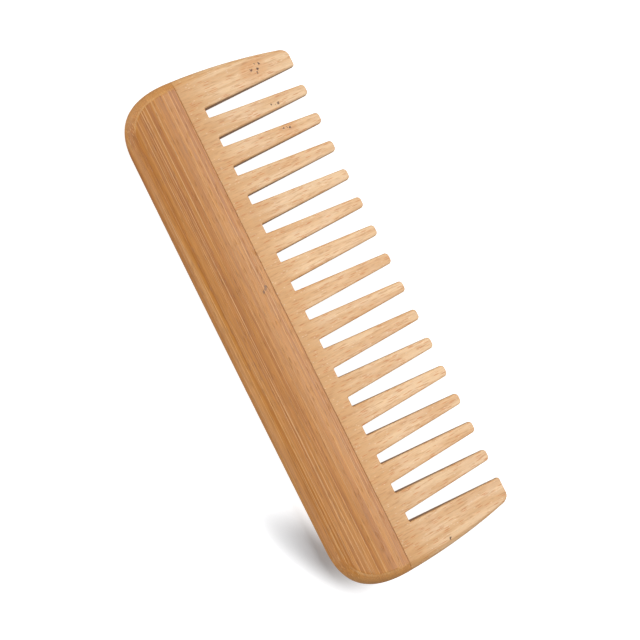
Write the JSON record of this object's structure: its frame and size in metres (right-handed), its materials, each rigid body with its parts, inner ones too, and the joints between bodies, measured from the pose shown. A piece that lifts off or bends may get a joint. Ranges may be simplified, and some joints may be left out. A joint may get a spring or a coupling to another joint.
{
  "type": "wide tooth comb",
  "caption": "Wide tooth hair comb, flat, with a thick rounded bamboo spine and a thinner tooth plate whose tapered teeth are cut between two broad guard teeth.",
  "frame": {"origin": "under the middle of the bounding box, on the plane of the spine's lower face", "axes": "+X along the comb's length, +Y towards the back edge of the spine, teeth towards -Y, +Z through the thickness"},
  "size_m": [0.169, 0.0608, 0.008],
  "materials": {
    "dark_bamboo": "oiled satin, carbonised brown, grain along the comb",
    "pale_bamboo": "oiled satin, natural pale, grain along the teeth"
  },
  "bodies": {
    "root": {"spine_back_strip": "dark_bamboo", "spine_upper_strip": "dark_bamboo", "spine_lower_strip": "dark_bamboo", "spine_grooved_strip": "dark_bamboo", "tooth_stave_1": "pale_bamboo", "tooth_stave_2": "pale_bamboo", "tooth_stave_3": "pale_bamboo", "tooth_stave_4": "pale_bamboo", "tooth_stave_5": "pale_bamboo", "tooth_stave_6": "pale_bamboo"}
  },
  "joints": []
}
